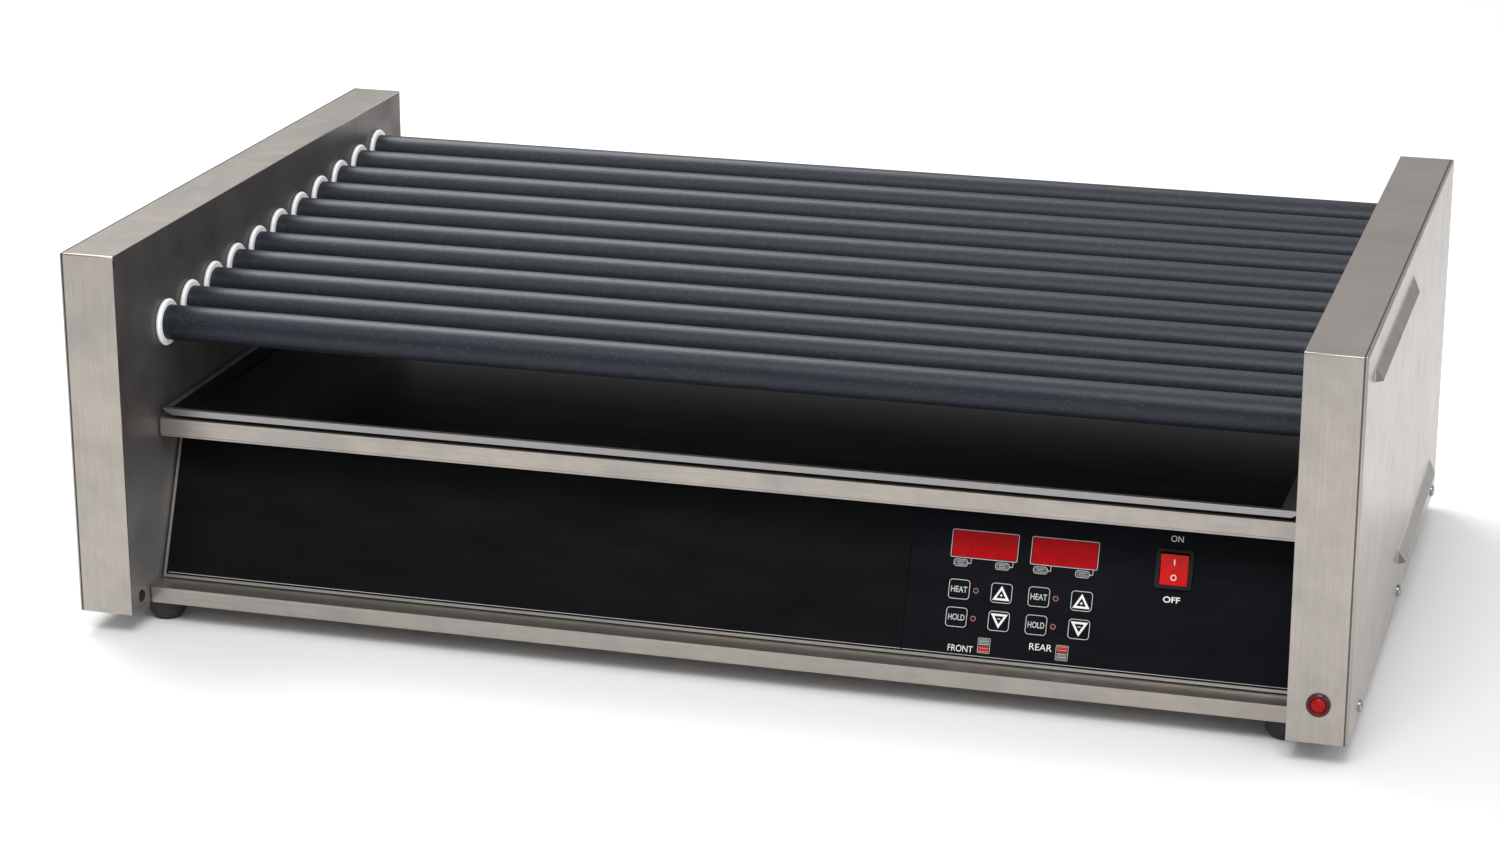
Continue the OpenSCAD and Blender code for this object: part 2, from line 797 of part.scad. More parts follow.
// Tooth outline: four points per tooth, from root to tip and back
function sprocket_outline(phase) = [
    for (i = [0:teeth - 1], corner = [[14.3, -5.6], [17.6, -2.4], [17.6, 2.4], [14.3, 5.6]])
        polar(corner[0], phase + i * tooth_step + corner[1])
];

module sprocket(phase) {
    rotate([90, 0, 90])
        translate([0, 0, -sprocket_t / 2])
            linear_extrude(sprocket_t) polygon(sprocket_outline(phase));
}

// A roller an even number of half links from the rear one has a tooth gap on top, the next a tooth
module roller_sprocket(k) {
    half_links = round((roller_count - k) * roller_pitch / chain_pitch * 2);
    phase = 90 + (half_links % 2 == 0 ? tooth_step / 2 : 0);
    color([0.5, 0.5, 0.52])
        roller_frame()
            translate([sprocket_x, roller_y(k), 0])
                difference() {
                    union() {
                        sprocket(phase);
                        along_x(-hub_l) cylinder(r = 12.6, h = hub_l);
                    }
                    along_x(-20) cylinder(r = journal_r + 0.03, h = 40);
                }
}

module drive_sprocket() {
    shaft_end = 9;
    shaft_l = 40;
    color([0.5, 0.5, 0.52])
        roller_frame()
            translate([sprocket_x, 0, -motor_drop]) {
                sprocket(90 + (teeth % 4 == 0 ? 0 : tooth_step / 2));
                along_x(-hub_l) cylinder(r = 11, h = hub_l);
                along_x(-shaft_end) cylinder(r = shaft_r, h = shaft_l);
            }
}

// Position of the pin that lies p links along the chain, counted from the top of the rear sprocket
function chain_point(p) =
    p <= at_front ? [row_half - p * chain_pitch, sprocket_r]
    : p <= off_front ? [-row_half, 0] + polar(sprocket_r, 90 + (p - at_front) * tooth_step)
    : p <= at_motor ? [-row_half, 0] + polar(sprocket_r, 90 + wrap_end)
        + polar((p - off_front) * chain_pitch, -fall)
    : p <= off_motor ? [0, -motor_drop] + polar(sprocket_r, 90 + wrap_end + (p - at_motor) * tooth_step)
    : p <= at_rear ? [0, -motor_drop] + polar(sprocket_r, 90 + wrap_end + wrap_motor)
        + polar((p - off_motor) * chain_pitch, fall)
    : [row_half, 0] + polar(sprocket_r, 90 + wrap_end + wrap_motor + (p - at_rear) * tooth_step);

module link_plate(z) {
    translate([0, 0, z])
        linear_extrude(plate_t) {
            for (end = [-1, 1]) translate([end * chain_pitch / 2, 0]) circle(plate_r);
            square([chain_pitch, waist], center = true);
        }
}

module inner_link() {
    difference() {
        union() {
            link_plate(1.6);
            link_plate(-2.35);
            for (end = [-1, 1]) {
                translate([end * chain_pitch / 2, 0, -1.7]) cylinder(r = chain_roller_r, h = 3.4);
            }
        }
        for (end = [-1, 1]) {
            translate([end * chain_pitch / 2, 0, -4]) cylinder(r = chain_pin_r + 0.1, h = 8);
        }
    }
}

module outer_link() {
    link_plate(2.45);
    link_plate(-3.2);
    for (end = [-1, 1]) translate([end * chain_pitch / 2, 0, -3.5]) cylinder(r = chain_pin_r, h = 7);
}

module drive_chain() {
    color([0.35, 0.34, 0.33])
        roller_frame()
            translate([sprocket_x, 0, 0])
                rotate([90, 0, 90])
                    for (i = [0:chain_links - 1]) {
                        a = chain_point(i);
                        b = chain_point((i + 1) % chain_links);
                        translate((a + b) / 2)
                            rotate(atan2(b.y - a.y, b.x - a.x))
                                if (i % 2 == 0) inner_link();
                                else outer_link();
                    }
}

// Motor and gearbox on the left inner wall, under the deck
module gearmotor() {
    gearbox = [32, 26];     // radius and length
    motor = [28, 62];
    cap = [9, 6];
    ear = [6, 5];
    color([0.3, 0.3, 0.32])
        roller_frame()
            translate([-x_in, 0, -motor_drop])
                difference() {
                    union() {
                        along_x(0) cylinder(r = gearbox[0], h = gearbox[1]);
                        along_x(gearbox[1] - 1) cylinder(r = motor[0], h = motor[1]);
                        along_x(gearbox[1] + motor[1] - 2) cylinder(r = cap[0], h = cap[1]);
                        for (turn = [45:90:315]) {
                            rotate([turn, 0, 0])
                                translate([0, gearbox[0] + 1, 0]) along_x(0) cylinder(r = ear[0], h = ear[1]);
                        }
                    }
                    along_x(-1) cylinder(r = shaft_r + 0.05, h = 20);
                    for (turn = [45:90:315]) {
                        rotate([turn, 0, 0])
                            translate([0, gearbox[0] + 2, 0]) along_x(-1) cylinder(r = screw_hole_r, h = 10);
                    }
                }
}

// One heating rod fixed inside each roller, with a terminal at each end
module heating_rods() {
    terminal = 1.5;         // radius and length of the bare end
    color([0.55, 0.5, 0.45])
        roller_frame()
            for (k = [1:roller_count]) {
                translate([0, roller_y(k), 0]) {
                    along_x(-rod_half) cylinder(r = rod_r, h = 2 * rod_half);
                    along_x(-rod_half - terminal) cylinder(r = terminal, h = 2 * (rod_half + terminal));
                }
            }
}

// Strip that holds the rod ends, on three posts from the inner wall
module heater_bracket() {
    strip_t = 1.2;
    strip_w = 24;
    strip_x = x_out - bracket_at - strip_t;
    end_post = row_half + 30;
    strip_half = end_post + 8;
    posts = [[-end_post, 0], [end_post, 0], [0, -32]];
    tab = [20, 30];         // tab that reaches down to the middle post
    post_r = 4;
    difference() {
        union() {
            translate([strip_x, -strip_half, -strip_w / 2]) cube([strip_t, 2 * strip_half, strip_w]);
            translate([strip_x, -tab.x / 2, -tab.y - 10]) cube([strip_t, tab.x, tab.y]);
            for (post = posts) {
                translate([0, post.x, post.y])
                    along_x(x_in + wall_t) cylinder(r = post_r, h = strip_x - x_in - wall_t + 0.1);
            }
        }
        for (k = [1:roller_count]) {
            translate([0, roller_y(k), 0]) along_x(strip_x - 1) cylinder(r = rod_r + 0.05, h = 4);
        }
    }
}

module heater_brackets() {
    color([0.7, 0.7, 0.7]) roller_frame() on_both_sides() heater_bracket();
}

left_side_cover();
right_side_cover();
left_inner_wall();
right_inner_wall();
base_pan();
top_deck();
back_panel();
feet();
screws();
hole_plugs();
cord_inlet();
panel_backing();
panel_trim();
blank_panel();
control_overlay();
display_windows();
indicator_leds();
control_board();
rocker_bezel();
rocker();
pilot_lamp_bezel();
pilot_lamp_lens();
drip_tray();
left_roller_seals();
right_roller_seals();
heating_rods();
heater_brackets();
gearmotor();
drive_sprocket();
drive_chain();
for (k = [1:roller_count]) {
    roller(k);
    roller_sprocket(k);
}
for (zone = [0:1], key = [0:3]) {
    membrane_key(zone, key);
}
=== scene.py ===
"""Looks of the hot dog roller grill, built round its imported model."""

import json
import math

import bmesh
import bpy
from mathutils import Matrix, Vector

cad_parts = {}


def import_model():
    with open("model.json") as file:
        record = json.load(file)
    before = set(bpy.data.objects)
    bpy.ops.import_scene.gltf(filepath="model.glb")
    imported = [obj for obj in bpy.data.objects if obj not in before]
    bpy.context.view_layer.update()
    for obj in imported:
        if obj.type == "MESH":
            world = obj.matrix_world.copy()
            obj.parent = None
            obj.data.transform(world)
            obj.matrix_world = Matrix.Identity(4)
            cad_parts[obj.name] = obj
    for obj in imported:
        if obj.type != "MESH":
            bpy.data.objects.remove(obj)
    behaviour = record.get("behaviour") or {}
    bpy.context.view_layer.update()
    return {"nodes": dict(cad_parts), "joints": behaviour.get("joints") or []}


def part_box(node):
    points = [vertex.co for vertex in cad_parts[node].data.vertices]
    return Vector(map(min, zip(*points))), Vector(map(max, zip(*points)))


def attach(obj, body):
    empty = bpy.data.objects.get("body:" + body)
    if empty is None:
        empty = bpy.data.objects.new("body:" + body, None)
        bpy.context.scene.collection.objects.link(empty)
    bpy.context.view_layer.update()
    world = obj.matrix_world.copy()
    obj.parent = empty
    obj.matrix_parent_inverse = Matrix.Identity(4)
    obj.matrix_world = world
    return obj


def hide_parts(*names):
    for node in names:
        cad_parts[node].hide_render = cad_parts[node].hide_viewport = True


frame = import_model()
nodes = frame["nodes"]

MM = 0.001
X, Y, Z = Vector((1, 0, 0)), Vector((0, 1, 0)), Vector((0, 0, 1))
NOISE_RANGE = (0.3, 0.7)
# The colour sockets of a Mix node, by number, because its sockets of other types have the same names.
MIX_A, MIX_B, MIX_RESULT = 6, 7, 2


# ---------------------------------------------------------------- node trees

class Shader:
    """One procedural material. Its textures read object coordinates, in metres."""

    def __init__(self, name, **sockets):
        self.material = bpy.data.materials.new(name)
        self.material.use_nodes = True
        self.tree = self.material.node_tree
        self.surface = self.tree.nodes["Principled BSDF"]
        self.place = self.tree.nodes.new("ShaderNodeTexCoord").outputs["Object"]
        for socket, value in sockets.items():
            self.feed(self.surface, socket.replace("_", " "), value)

    def feed(self, node, socket, value):
        """Links value to a socket if it is another node's output, or else sets it there."""
        target = node.inputs[socket]
        if isinstance(value, bpy.types.NodeSocket):
            self.tree.links.new(value, target)
        elif target.type == "RGBA" and len(value) == 3:
            target.default_value = (*value, 1)
        else:
            target.default_value = value

    def add(self, kind, output, settings=(), **sockets):
        """An output of a new node. A socket is given by its name, or as _0 or _1 by its number."""
        node = self.tree.nodes.new("ShaderNode" + kind)
        for setting, value in dict(settings).items():
            setattr(node, setting, value)
        for socket, value in sockets.items():
            key = int(socket[1:]) if socket[0] == "_" else socket
            self.feed(node, key, value)
        return node.outputs[output]

    def stretched(self, cells):
        """Coordinates in texture cells, where cells is the size of one cell along X, Y and Z."""
        scale = [1 / c for c in cells]
        return self.add("Mapping", "Vector", Vector=self.place, Scale=scale)

    def noise(self, cells, detail=2.0, roughness=0.5):
        cells = cells if hasattr(cells, "__len__") else (cells,) * 3
        place = self.stretched(cells)
        return self.add("TexNoise", "Fac", Vector=place, Scale=1.0, Detail=detail, Roughness=roughness)

    def cells(self, size, output="Distance"):
        return self.add("TexVoronoi", output, Vector=self.stretched((size,) * 3), Scale=1.0)

    def math(self, operation, a, b=0.0):
        return self.add("Math", 0, {"operation": operation}, _0=a, _1=b)

    def times(self, a, b):
        return self.math("MULTIPLY", a, b)

    def band(self, value, low, high, start=0.0, end=1.0):
        """value from low to high, carried over to start to end and clamped there."""
        node = self.tree.nodes.new("ShaderNodeMapRange")
        ranges = {"Value": value, "From Min": low, "From Max": high, "To Min": start, "To Max": end}
        for socket, v in ranges.items():
            self.feed(node, socket, v)
        return node.outputs["Result"]

    def spread(self, noise, start=0.0, end=1.0):
        """A noise's usual range, carried over to start to end."""
        return self.band(noise, *NOISE_RANGE, start, end)

    def axis(self, name):
        """The X, Y or Z coordinate."""
        return self.add("SeparateXYZ", name, Vector=self.place)

    def mix(self, factor, a, b):
        """A colour that goes from a to b as factor goes from 0 to 1."""
        node = self.tree.nodes.new("ShaderNodeMix")
        node.data_type = "RGBA"
        self.feed(node, "Factor", factor)
        self.feed(node, MIX_A, a)
        self.feed(node, MIX_B, b)
        return node.outputs[MIX_RESULT]

    def scaled(self, colour, level):
        return self.add("VectorMath", 0, {"operation": "SCALE"}, _0=colour, Scale=level)

    def colour(self, value):
        self.feed(self.surface, "Base Color", value)

    def rough(self, value):
        self.feed(self.surface, "Roughness", value)

    def bump(self, height, distance, strength):
        normal = self.add("Bump", "Normal", Height=height, Distance=distance, Strength=strength)
        self.feed(self.surface, "Normal", normal)


def shade(colour, amount):
    return tuple(c * amount for c in colour)


# ---------------------------------------------------------------- metals

def grain_cells(along, width, length):
    """Size of a grain cell that is length long along one axis and width wide across it."""
    return [length if axis == along else width for axis in "XYZ"]


LOUVRE_DEPTH = 5.5 * MM
FOLD_SHADE_INSET = 2.45 * MM


def hem_shade_line(s):
    """Painted shade: a dark line where the deck's skirt is folded back on itself, the shadow in the
    crease of the hem.
    """
    hem_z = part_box("top_deck")[0].z + 1.4 * MM
    away = s.math("ABSOLUTE", s.math("SUBTRACT", s.axis("Z"), hem_z))
    return s.band(away, 0.15 * MM, 0.35 * MM, 0.6, 1.0)


def cover_painted_shade(s):
    """Painted shade: duller, darker steel on the pressed louvres, and a dark line of painted shade along
    the bend of the fold round the outer side.
    """
    outer_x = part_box("right_side_cover")[1].x - LOUVRE_DEPTH
    across = s.math("ABSOLUTE", s.axis("X"))
    # painted shade: the louvre faces standing out past the side are darkened
    hoods = s.band(across, outer_x + 0.4 * MM, outer_x + 1.2 * MM, 1.0, 0.45)
    # painted shade: a dark line along the bend of the fold, a little in from the side
    away = s.math("ABSOLUTE", s.math("SUBTRACT", across, outer_x - FOLD_SHADE_INSET))
    return s.times(hoods, s.band(away, 0.5 * MM, 0.8 * MM, 0.3, 1.0))


def brushed(name, along, tone, roughness, contrast=0.13, mottle=0.09, marks=None):
    """Rolled stainless sheet with its brushed grain along one axis, cloudy and a little smudged."""
    s = Shader(name, Metallic=0.88)
    coarse = s.noise(grain_cells(along, 1.1 * MM, 90 * MM), 3, 0.7)
    fine = s.noise(grain_cells(along, 0.35 * MM, 35 * MM), 2, 0.6)
    grain = s.math("ADD", s.times(coarse, 0.5), s.times(fine, 0.5))
    clouds = s.noise(60 * MM, 4, 0.65)
    smudges = s.noise((26 * MM, 18 * MM, 26 * MM), 4, 0.7)
    level = s.spread(grain, 1 - contrast, 1 + contrast)
    level = s.times(level, s.spread(clouds, 1 - mottle, 1 + mottle))
    level = s.times(level, s.band(smudges, 0.35, 0.7, 1.03, 0.93))
    # where given, this paints shade into the level: dark lines and darker faces of painted shade
    if marks:
        level = s.times(level, marks(s))
    tinted = s.mix(s.band(clouds, 0.35, 0.7), tone, (tone[0] * 1.03, tone[1] * 0.99, tone[2] * 0.95))
    s.colour(s.scaled(tinted, level))
    grain_rough = s.spread(grain, roughness - 0.05, roughness + 0.06)
    s.rough(s.math("ADD", grain_rough, s.band(smudges, 0.5, 0.75, 0.0, 0.07)))
    s.bump(grain, 0.02 * MM, 0.5)
    return s.material


def plated(name, tone, roughness):
    """Small turned or pressed steel piece, faintly speckled."""
    s = Shader(name, Metallic=0.95)
    speckle = s.noise(1.2 * MM, 3, 0.6)
    s.colour(s.mix(s.spread(speckle), shade(tone, 0.8), tone))
    s.rough(s.spread(s.noise(3 * MM, 3), roughness - 0.06, roughness + 0.08))
    s.bump(speckle, 0.01 * MM, 0.5)
    return s.material


def tray_finish():
    """Polished tray, its inside painted near black as painted shade and reflection under the rollers,
    its top rim and folded lip painted brighter as lit steel, with long wipe marks.
    """
    low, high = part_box("drip_tray")
    s = Shader("tray_steel", Metallic=0.9)
    grain = s.noise(grain_cells("X", 0.8 * MM, 120 * MM), 3, 0.6)
    wipes = s.noise((180 * MM, 14 * MM, 30 * MM), 4, 0.6)
    dark, bright = (0.016, 0.0155, 0.0165), (0.30, 0.295, 0.29)
    # painted light: the top rim and the front of the lip get bright, lit steel, the rest the near-black
    # tone of painted shade
    rim = s.band(s.axis("Z"), high.z - 0.6 * MM, high.z - 0.3 * MM)
    lip = s.band(s.axis("Y"), low.y + 1.2 * MM, low.y + 0.9 * MM)
    edge = s.math("MAXIMUM", rim, lip)
    inside = s.mix(s.band(wipes, 0.4, 0.75), dark, shade(dark, 1.5))
    lit_rim_and_lip = s.mix(s.spread(grain), shade(bright, 0.92), bright)
    s.colour(s.mix(edge, inside, lit_rim_and_lip))
    s.rough(s.math("ADD", s.spread(wipes, 0.19, 0.26), s.times(edge, 0.08)))
    s.bump(grain, 0.01 * MM, 0.4)
    return s.material


def wall_finish():
    """Inner wall sheet: duller steel, its tone set darker than the covers' as painted shade inside the
    housing, going much darker and a little brown up towards the rollers: heat discolouring, deepened by
    painted shade round the rollers.
    """
    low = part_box("left_roller_seals")[0]
    tone, heat_and_shade_tone = (0.29, 0.28, 0.275), (0.070, 0.060, 0.056)
    s = Shader("wall_steel", Metallic=0.6)
    grain = s.noise(grain_cells("Z", 0.7 * MM, 90 * MM), 3, 0.6)
    clouds = s.noise(60 * MM, 4, 0.6)
    # painted shade with heat discolouring: the wall darkens upwards towards the rollers
    height = s.band(s.axis("Z"), low.z - 110 * MM, low.z - 40 * MM)
    heat_tint_and_shade = s.times(height, s.spread(clouds, 0.5, 1.0))
    base = s.mix(heat_tint_and_shade, tone, heat_and_shade_tone)
    level = s.times(s.spread(grain, 0.88, 1.12), s.spread(clouds, 0.85, 1.1))
    s.colour(s.scaled(base, level))
    s.rough(s.spread(clouds, 0.38, 0.5))
    s.bump(grain, 0.015 * MM, 0.5)
    return s.material


# ---------------------------------------------------------------- coatings, plastics and rubber

COATING_END = 420 * MM


def roller_coating():
    """Granular blue-grey non-stick coating, bare steel on the journals inside the housings."""
    s = Shader("roller_coating", Specular_IOR_Level=0.36, Specular_Tint=(0.88, 0.94, 1.0))
    grit = s.noise(0.9 * MM, 3, 0.7)
    fleck = s.cells(1.1 * MM, "Color")
    flecks = s.band(s.add("SeparateColor", "Red", Color=fleck), 0.9, 0.97)
    worn = s.noise((90 * MM, 12 * MM, 12 * MM), 4, 0.6)
    base = s.mix(s.spread(grit), (0.005, 0.0065, 0.010), (0.013, 0.017, 0.025))
    base = s.mix(s.band(worn, 0.5, 0.8, 0.0, 0.35), base, (0.021, 0.024, 0.029))
    base = s.mix(s.times(flecks, 0.25), base, (0.08, 0.09, 0.10))
    journal = s.band(s.math("ABSOLUTE", s.axis("X")), COATING_END - 0.5 * MM, COATING_END)
    s.colour(s.mix(journal, base, (0.45, 0.44, 0.43)))
    s.rough(s.spread(grit, 0.34, 0.5))
    s.feed(s.surface, "Metallic", journal)
    s.bump(grit, 0.09 * MM, 0.6)
    return s.material


def moulded(name, colour, roughness, cell=0.35 * MM, depth=0.02 * MM, variation=0.18, **sockets):
    """Plastic, rubber or paint with a fine moulded or sprayed texture and uneven wear."""
    s = Shader(name, **sockets)
    texture = s.noise(cell, 2, 0.6)
    clouds = s.noise(25 * MM, 3, 0.6)
    s.colour(s.mix(s.spread(clouds), shade(colour, 1 - variation), shade(colour, 1 + variation)))
    s.rough(s.spread(clouds, roughness - 0.05, roughness + 0.07))
    s.bump(texture, depth, 0.6)
    return s.material


def seal_finish():
    """White PTFE, slightly waxy, with a trace of grease round the roller."""
    s = Shader("white_seal", Specular_IOR_Level=0.45, Subsurface_Weight=0.08)
    s.feed(s.surface, "Subsurface Radius", (0.002, 0.002, 0.002))
    grease = s.band(s.noise(5 * MM, 4, 0.6), 0.5, 0.75, 0.0, 0.35)
    s.colour(s.mix(grease, (0.91, 0.91, 0.92), (0.74, 0.73, 0.70)))
    s.rough(s.spread(s.noise(2 * MM, 3), 0.36, 0.5))
    s.bump(s.noise(0.6 * MM, 2), 0.015 * MM, 0.4)
    return s.material


def gloss_panel(name, colour, roughness, cell, depth):
    """Black sheet: smooth or finely textured, with dust specks and wipe marks in its gloss."""
    s = Shader(name, Specular_IOR_Level=0.06)
    dust = s.band(s.cells(6 * MM, "Distance"), 0.035, 0.02)
    wipes = s.noise((60 * MM, 20 * MM, 20 * MM), 4, 0.6)
    base = s.mix(s.spread(wipes), shade(colour, 0.8), shade(colour, 1.25))
    s.colour(s.mix(s.times(dust, 0.15), base, (0.12, 0.12, 0.12)))
    s.rough(s.spread(wipes, roughness - 0.05, roughness + 0.08))
    s.bump(s.noise(cell, 2, 0.5), depth, 0.6)
    return s.material


def window_finish(name, colour):
    """Red tinted window, glossy over a faintly uneven filter."""
    s = Shader(name, Specular_IOR_Level=0.12)
    clouds = s.noise((14 * MM, 14 * MM, 6 * MM), 3, 0.6)
    s.colour(s.mix(s.spread(clouds), shade(colour, 0.85), shade(colour, 1.12)))
    s.rough(s.spread(clouds, 0.16, 0.26))
    s.bump(s.noise(1.5 * MM, 2), 0.01 * MM, 0.4)
    return s.material


def ink(name, colour):
    """Screen-printed ink, a little uneven in cover."""
    s = Shader(name, Specular_IOR_Level=0.3)
    cover = s.noise(0.5 * MM, 2)
    s.colour(s.mix(s.spread(cover), shade(colour, 0.86), colour))
    s.rough(s.spread(cover, 0.4, 0.55))
    return s.material


def board_finish():
    """Green solder mask with copper-coloured specks of pads and tracks."""
    s = Shader("circuit_board", Specular_IOR_Level=0.5)
    tracks = s.band(s.noise((6 * MM, 1.2 * MM, 1.2 * MM), 2), 0.56, 0.6)
    s.colour(s.mix(tracks, (0.012, 0.09, 0.035), (0.02, 0.15, 0.06)))
    s.rough(s.band(tracks, 0, 1, 0.35, 0.45))
    s.bump(tracks, 0.03 * MM, 0.5)
    return s.material


STEEL = (0.375, 0.35, 0.325)
BLACK = (0.0048, 0.0045, 0.0052)
DEEP_RED = (0.38, 0.002, 0.004)

FINISHES = {
    # the covers' steel carries painted shade on its louvres and along its folds
    "stainless": brushed("stainless", "Z", STEEL, 0.30, marks=cover_painted_shade),
    "wall_steel": wall_finish(),
    "tray_steel": tray_finish(),
    "roller_coating": roller_coating(),
    "white_seal": seal_finish(),
    "black_panel": gloss_panel("black_panel", BLACK, 0.34, 0.6 * MM, 0.008 * MM),
    "black_steel": moulded("black_steel", (0.012, 0.012, 0.013), 0.45),
    "bright_trim": brushed("bright_trim", "X", (0.34, 0.33, 0.31), 0.40, 0.03),
    "red_window": window_finish("red_window", DEEP_RED),
    "red_plastic": moulded("red_plastic", (0.52, 0.006, 0.004), 0.28, Specular_IOR_Level=0.18),
    "dark_red_plastic": moulded("dark_red_plastic", (0.06, 0.003, 0.003), 0.25, Specular_IOR_Level=0.3),
    "black_plastic": moulded("black_plastic", (0.006, 0.006, 0.007), 0.4, Specular_IOR_Level=0.2),
    "rubber": moulded("rubber", (0.018, 0.018, 0.018), 0.72, 0.8 * MM, 0.05 * MM),
    "screw_steel": plated("screw_steel", (0.46, 0.45, 0.42), 0.24),
    "rod_steel": plated("rod_steel", (0.42, 0.37, 0.31), 0.42),
    "zinc_steel": plated("zinc_steel", (0.66, 0.67, 0.68), 0.36),
    "drive_steel": plated("drive_steel", (0.40, 0.40, 0.41), 0.38),
    "chain_steel": plated("chain_steel", (0.22, 0.21, 0.20), 0.36),
    "motor_paint": moulded("motor_paint", (0.05, 0.052, 0.056), 0.5, 0.6 * MM, 0.03 * MM),
    "circuit_board": board_finish(),
}
LENGTHWISE = brushed("stainless_lengthwise", "X", STEEL, 0.34)
OVERLAY = gloss_panel("overlay_film", (0.0045, 0.0045, 0.0072), 0.40, 0.35 * MM, 0.012 * MM)
UNLIT_LED = moulded("unlit_indicator", (0.02, 0.003, 0.003), 0.3, Specular_IOR_Level=0.2)
BACK = brushed("back_steel", "X", shade(STEEL, 0.8), 0.4)
OWN_FINISH = {
    # the ledge steel carries a painted shade line along its hem
    "top_deck": brushed("ledge_steel", "X", STEEL, 0.34, marks=hem_shade_line),
    "base_pan": LENGTHWISE,
    "back_panel": BACK,
    "control_overlay": OVERLAY,
    "indicator_leds": UNLIT_LED,
}

for name, node in nodes.items():
    slot_name = node.material_slots[0].material.name
    key = name.endswith("_key")
    node.material_slots[0].material = OWN_FINISH.get(name, OVERLAY if key else FINISHES[slot_name])

WHITE = ink("white_ink", (0.80, 0.80, 0.78))
PALE = ink("pale_ink", (0.52, 0.54, 0.53))
RED_INK = ink("red_ink", (0.55, 0.02, 0.02))
ROSE_INK = ink("rose_ink", (0.65, 0.16, 0.14))
RING_INK = ink("ring_ink", (0.50, 0.22, 0.20))
BLUE_INK = ink("blue_ink", (0.30, 0.42, 0.50))
AMBER_INK = ink("amber_ink", (0.30, 0.24, 0.16))
UNLIT = window_finish("unlit_segments", (0.33, 0.002, 0.004))


# ---------------------------------------------------------------- mesh helpers

def piece(name, mesh, material, body):
    """A new object from a mesh in the row frame, riding on a body."""
    obj = bpy.data.objects.new(name, mesh)
    bpy.context.scene.collection.objects.link(obj)
    obj.data.materials.clear()
    obj.data.materials.append(material)
    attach(obj, body)
    return obj


def lathe(profile, centre, axis, turns=96):
    """Closed solid of revolution. The profile holds (radius, distance along axis), from axis to axis."""
    across = axis.orthogonal().normalized()
    side = axis.cross(across)
    bm = bmesh.new()
    rings = []
    for radius, along in profile:
        middle = centre + axis * along
        if radius == 0:
            rings.append([bm.verts.new(middle)] * turns)
            continue
        angles = [2 * math.pi * i / turns for i in range(turns)]
        rings.append([
            bm.verts.new(middle + (across * math.cos(a) + side * math.sin(a)) * radius) for a in angles
        ])
    for lower, upper in zip(rings, rings[1:]):
        for i in range(turns):
            j = (i + 1) % turns
            corners = [lower[i], lower[j], upper[j], upper[i]]
            bm.faces.new(list(dict.fromkeys(corners)))
    bmesh.ops.recalc_face_normals(bm, faces=bm.faces)
    mesh = bpy.data.meshes.new("lathe")
    bm.to_mesh(mesh)
    bm.free()
    mesh.shade_smooth()
    mesh.set_sharp_from_angle(angle=math.radians(40))
    return mesh


class Plane:
    """A flat face to print on: u to the right, v up, w out of it, in metres from its origin."""

    def __init__(self, origin, w):
        self.w = w.normalized()
        self.u = X
        self.v = self.w.cross(self.u)
        self.origin = Vector(origin)

    def at(self, u, v, w=0.0):
        return self.origin + self.u * u + self.v * v + self.w * w

    def matrix(self):
        columns = Matrix((self.u, self.v, self.w)).transposed().to_4x4()
        return Matrix.Translation(self.origin) @ columns

    def span(self, node):
        """Lowest and highest (u, v, w) of a node's vertices."""
        points = [v.co - self.origin for v in nodes[node].data.vertices]
        spans = [[p.dot(axis) for p in points] for axis in (self.u, self.v, self.w)]
        return Vector(min(s) for s in spans), Vector(max(s) for s in spans)


PRINT_T = 0.05 * MM
SUNK = 0.01 * MM


def print_mesh(plane, curve, lift=0.0):
    """Closed thin prisms from a filled 2D curve, standing on a plane and sunk a little into it."""
    curve.dimensions = "2D"
    curve.fill_mode = "BOTH"
    curve.extrude = (PRINT_T + SUNK) / 2
    source = bpy.data.objects.new("curve", curve)
    bpy.context.scene.collection.objects.link(source)
    bpy.context.view_layer.update()
    mesh = bpy.data.meshes.new_from_object(source.evaluated_get(bpy.context.evaluated_depsgraph_get()))
    bpy.data.objects.remove(source)
    bm = bmesh.new()
    bm.from_mesh(mesh)
    bmesh.ops.remove_doubles(bm, verts=bm.verts, dist=1e-7)
    bmesh.ops.recalc_face_normals(bm, faces=bm.faces)
    bm.to_mesh(mesh)
    bm.free()
    mesh.transform(plane.matrix() @ Matrix.Translation((0, 0, lift + (PRINT_T - SUNK) / 2)))
    return mesh


def outlines(*loops):
    """A 2D curve of closed outlines, in which a loop inside another one is a hole."""
    curve = bpy.data.curves.new("outlines", "CURVE")
    for loop in loops:
        spline = curve.splines.new("POLY")
        spline.points.add(len(loop) - 1)
        for point, (u, v) in zip(spline.points, loop):
            point.co = (u, v, 0, 1)
        spline.use_cyclic_u = True
    return curve


def words(text, bold):
    """A text curve, and the lowest and highest x and y of its letters."""
    curve = bpy.data.curves.new(text, "FONT")
    curve.body = text
    curve.align_x, curve.align_y = "LEFT", "BOTTOM_BASELINE"
    curve.offset = bold
    probe = bpy.data.objects.new("probe", curve)
    bpy.context.scene.collection.objects.link(probe)
    bpy.context.view_layer.update()
    mesh = bpy.data.meshes.new_from_object(probe.evaluated_get(bpy.context.evaluated_depsgraph_get()))
    xs = [v.co.x for v in mesh.vertices]
    ys = [v.co.y for v in mesh.vertices]
    bpy.data.meshes.remove(mesh)
    bpy.data.objects.remove(probe)
    return curve, (min(xs), max(xs), min(ys), max(ys))


